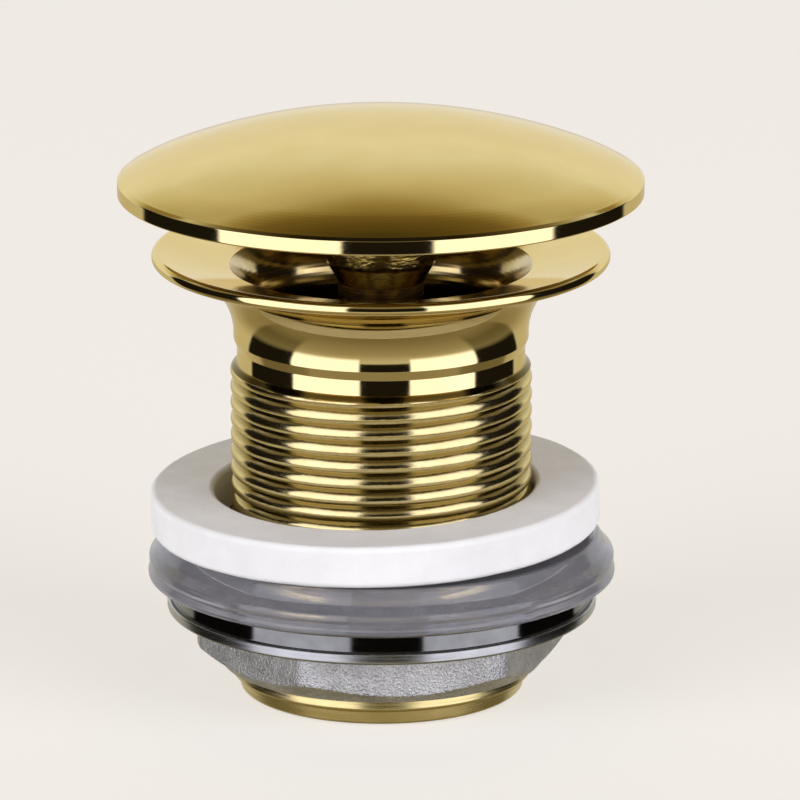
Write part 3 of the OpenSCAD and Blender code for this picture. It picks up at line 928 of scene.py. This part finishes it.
def studio_walls(tree, across):
    """Two soft boxes in front, black flags beside them and a pale backdrop behind."""
    return by_angle(tree, across, 180, [
        (0, BLACK),
        (BOX_START - 0.8, BLACK),
        (BOX_START + 0.8, SOFT_BOX),
        (BOX_END - 1, SOFT_BOX),
        (BOX_END + 1, BLACK),
        (BACK_START - 2.5, BLACK),
        (BACK_START + 2.5, PALE),
        (180, PALE),
    ])


def studio_over(tree, across, rise, lifted):
    """The backdrop darkening as it curves over, and a dim ceiling in front."""
    behind = by_angle(tree, lifted, 90, [
        (30, (0.98, 0.98, 1.03)),
        (38, (0.89, 0.90, 0.90)),
        (47, (0.70, 0.645, 0.46)),
        (54, (0.36, 0.28, 0.11)),
        (59, (0.20, 0.14, 0.04)),
        (66, (0.13, 0.09, 0.02)),
        (78, (0.05, 0.035, 0.012)),
        (90, BLACK),
    ])
    ceiling = by_angle(tree, rise, 90, [
        (30, (0.30, 0.26, 0.17)),
        (45, (0.26, 0.215, 0.12)),
        (60, (0.09, 0.07, 0.033)),
        (72, (0.02, 0.015, 0.009)),
        (90, BLACK),
    ])
    return mix_colour(tree, span(tree, across, 115, 135, 1, 0), behind, ceiling)


def studio_under(tree, across, rise):
    """The floor as metal shows it, darker below the flags."""
    floor_colour = by_angle(tree, rise, -90, [
        (-24, (0.66, 0.62, 0.52)),
        (-36, (0.42, 0.37, 0.26)),
        (-60, (0.30, 0.26, 0.17)),
        (-90, (0.22, 0.185, 0.12)),
    ])
    flag = math_node(tree, "MULTIPLY", band(tree, across, 75, 80, 126, 131),
                     span(tree, rise, -55, -42, 0, 0.7))
    return mix_colour(tree, flag, floor_colour, (*UNDER_FLAG, 1.0))


def studio_world():
    """The studio that metal shows, and a plain backdrop where the camera looks past the part."""
    world = bpy.data.worlds.new("studio")
    bpy.context.scene.world = world
    world.use_nodes = True
    tree = world.node_tree
    tree.nodes.clear()
    way = shader_node(tree, "ShaderNodeTexCoord").outputs["Generated"]
    axes = shader_node(tree, "ShaderNodeSeparateXYZ", {0: way}).outputs
    toward = math_node(tree, "MULTIPLY", axes["Y"], -1.0)
    bearing = math_node(tree, "DEGREES", math_node(tree, "ARCTAN2", axes["X"], toward))
    across = math_node(tree, "ABSOLUTE", math_node(tree, "SUBTRACT", bearing, STUDIO_TURN))
    rise = math_node(tree, "DEGREES", math_node(tree, "ARCSINE", axes["Z"]))
    between = span(tree, across, BOX_START - 1, BOX_START + 1, 1, 0)
    behind = span(tree, across, BACK_START - 1.5, BACK_START + 1.5, 0, 1)

    # The backdrop's dark top comes lower at the sides, and the soft boxes reach higher than the walls
    aside = span(tree, math_node(tree, "ABSOLUTE", bearing), 180, 126, 0, BACK_LIFT)
    aside = math_node(tree, "MULTIPLY", aside, behind)
    lifted = math_node(tree, "MULTIPLY_ADD", aside, span(tree, rise, 29, 50, 1, 0), rise)
    reach = math_node(tree, "MULTIPLY", span(tree, across, 85, 100, BOX_RISE, 0),
                      math_node(tree, "SUBTRACT", 1.0, between))
    past_walls = span(tree, math_node(tree, "SUBTRACT", lifted, reach), WALL_FADE, WALL_TOP, 0, 1)
    above = mix_colour(tree, past_walls, studio_walls(tree, across), studio_over(tree, across, rise, lifted))

    # The floor starts higher behind and between the soft boxes
    under = math_node(tree, "MAXIMUM", span(tree, rise, -25, -30, 0, 1),
                      math_node(tree, "MULTIPLY", between, span(tree, rise, -20, -22, 0, 1)))
    under = math_node(tree, "MAXIMUM", under,
                      math_node(tree, "MULTIPLY", behind, span(tree, rise, -2, -10, 0, 1)))
    studio = mix_colour(tree, under, above, studio_under(tree, across, rise))

    seen = shader_node(tree, "ShaderNodeLightPath").outputs
    direct = math_node(tree, "MAXIMUM", seen["Is Camera Ray"], seen["Is Transmission Ray"])
    colour = mix_colour(tree, direct, studio, (*BACKDROP, 1.0))
    background = shader_node(tree, "ShaderNodeBackground", {"Color": colour})
    output = shader_node(tree, "ShaderNodeOutputWorld")
    tree.links.new(background.outputs[0], output.inputs["Surface"])


def fill_lamp(side):
    """Broad lamp low at one side of the camera, for what is matt."""
    light = bpy.data.lights.new("fill", "AREA")
    light.shape = "SQUARE"
    light.size = FILL_SIZE
    light.energy = FILL_POWER
    light.color = FILL_COLOUR
    made = bpy.data.objects.new("fill", light)
    bpy.context.scene.collection.objects.link(made)
    turn = side * math.radians(FILL_TURN)
    rise = math.radians(FILL_RISE)
    away = Vector((math.sin(turn) * math.cos(rise), -math.cos(turn) * math.cos(rise), math.sin(rise)))
    made.location = CAMERA_AIM + away * FILL_DISTANCE
    made.rotation_mode = "QUATERNION"
    made.rotation_quaternion = (-away).to_track_quat("-Z", "Y")
    made.visible_glossy = False
    made.visible_camera = False


def floor():
    """Pale floor that glows to the backdrop's colour where it is looked at, and keeps the shadow."""
    bpy.ops.mesh.primitive_circle_add(vertices=FLOOR_SIDES, radius=FLOOR_R, fill_type="NGON",
                                      location=(0, 0, -FLOOR_DROP))
    plane = bpy.context.object
    plane.name = "floor"
    made = bpy.data.materials.new("floor_look")
    made.use_nodes = True
    tree = made.node_tree
    tree.nodes.clear()
    seen = shader_node(tree, "ShaderNodeLightPath").outputs
    looked_at = math_node(tree, "MAXIMUM", seen["Is Camera Ray"],
                          math_node(tree, "MAXIMUM", seen["Is Glossy Ray"], seen["Is Transmission Ray"]))
    glow = shader_node(tree, "ShaderNodeEmission", {
        "Color": (*BACKDROP, 1.0),
        "Strength": math_node(tree, "MULTIPLY", looked_at, FLOOR_GLOW),
    })
    matt = shader_node(tree, "ShaderNodeBsdfDiffuse", {"Color": (*FLOOR_COLOUR, 1.0)})
    both = shader_node(tree, "ShaderNodeAddShader", {0: glow.outputs[0], 1: matt.outputs[0]})
    output = shader_node(tree, "ShaderNodeOutputMaterial")
    tree.links.new(both.outputs[0], output.inputs["Surface"])
    plane.data.materials.append(made)
    plane.visible_glossy = False


def camera():
    """Camera at the photograph's angle and distance."""
    lens = bpy.data.cameras.new("camera")
    lens.sensor_width = SENSOR_MM
    lens.lens = FOCAL_PIXELS / FRAME_PIXELS * SENSOR_MM
    made = bpy.data.objects.new("camera", lens)
    bpy.context.scene.collection.objects.link(made)
    rise = math.radians(CAMERA_ELEVATION)
    back = Vector((0, -math.cos(rise), math.sin(rise)))
    made.location = CAMERA_AIM + back * CAMERA_DISTANCE
    made.rotation_mode = "QUATERNION"
    roll = Quaternion((0, 0, 1), math.radians(CAMERA_ROLL))
    made.rotation_quaternion = (-back).to_track_quat("-Z", "Y") @ roll
    bpy.context.scene.camera = made


studio_world()
fill_lamp(-1)
fill_lamp(1)
floor()
camera()
bpy.context.scene.view_settings.view_transform = "Standard"
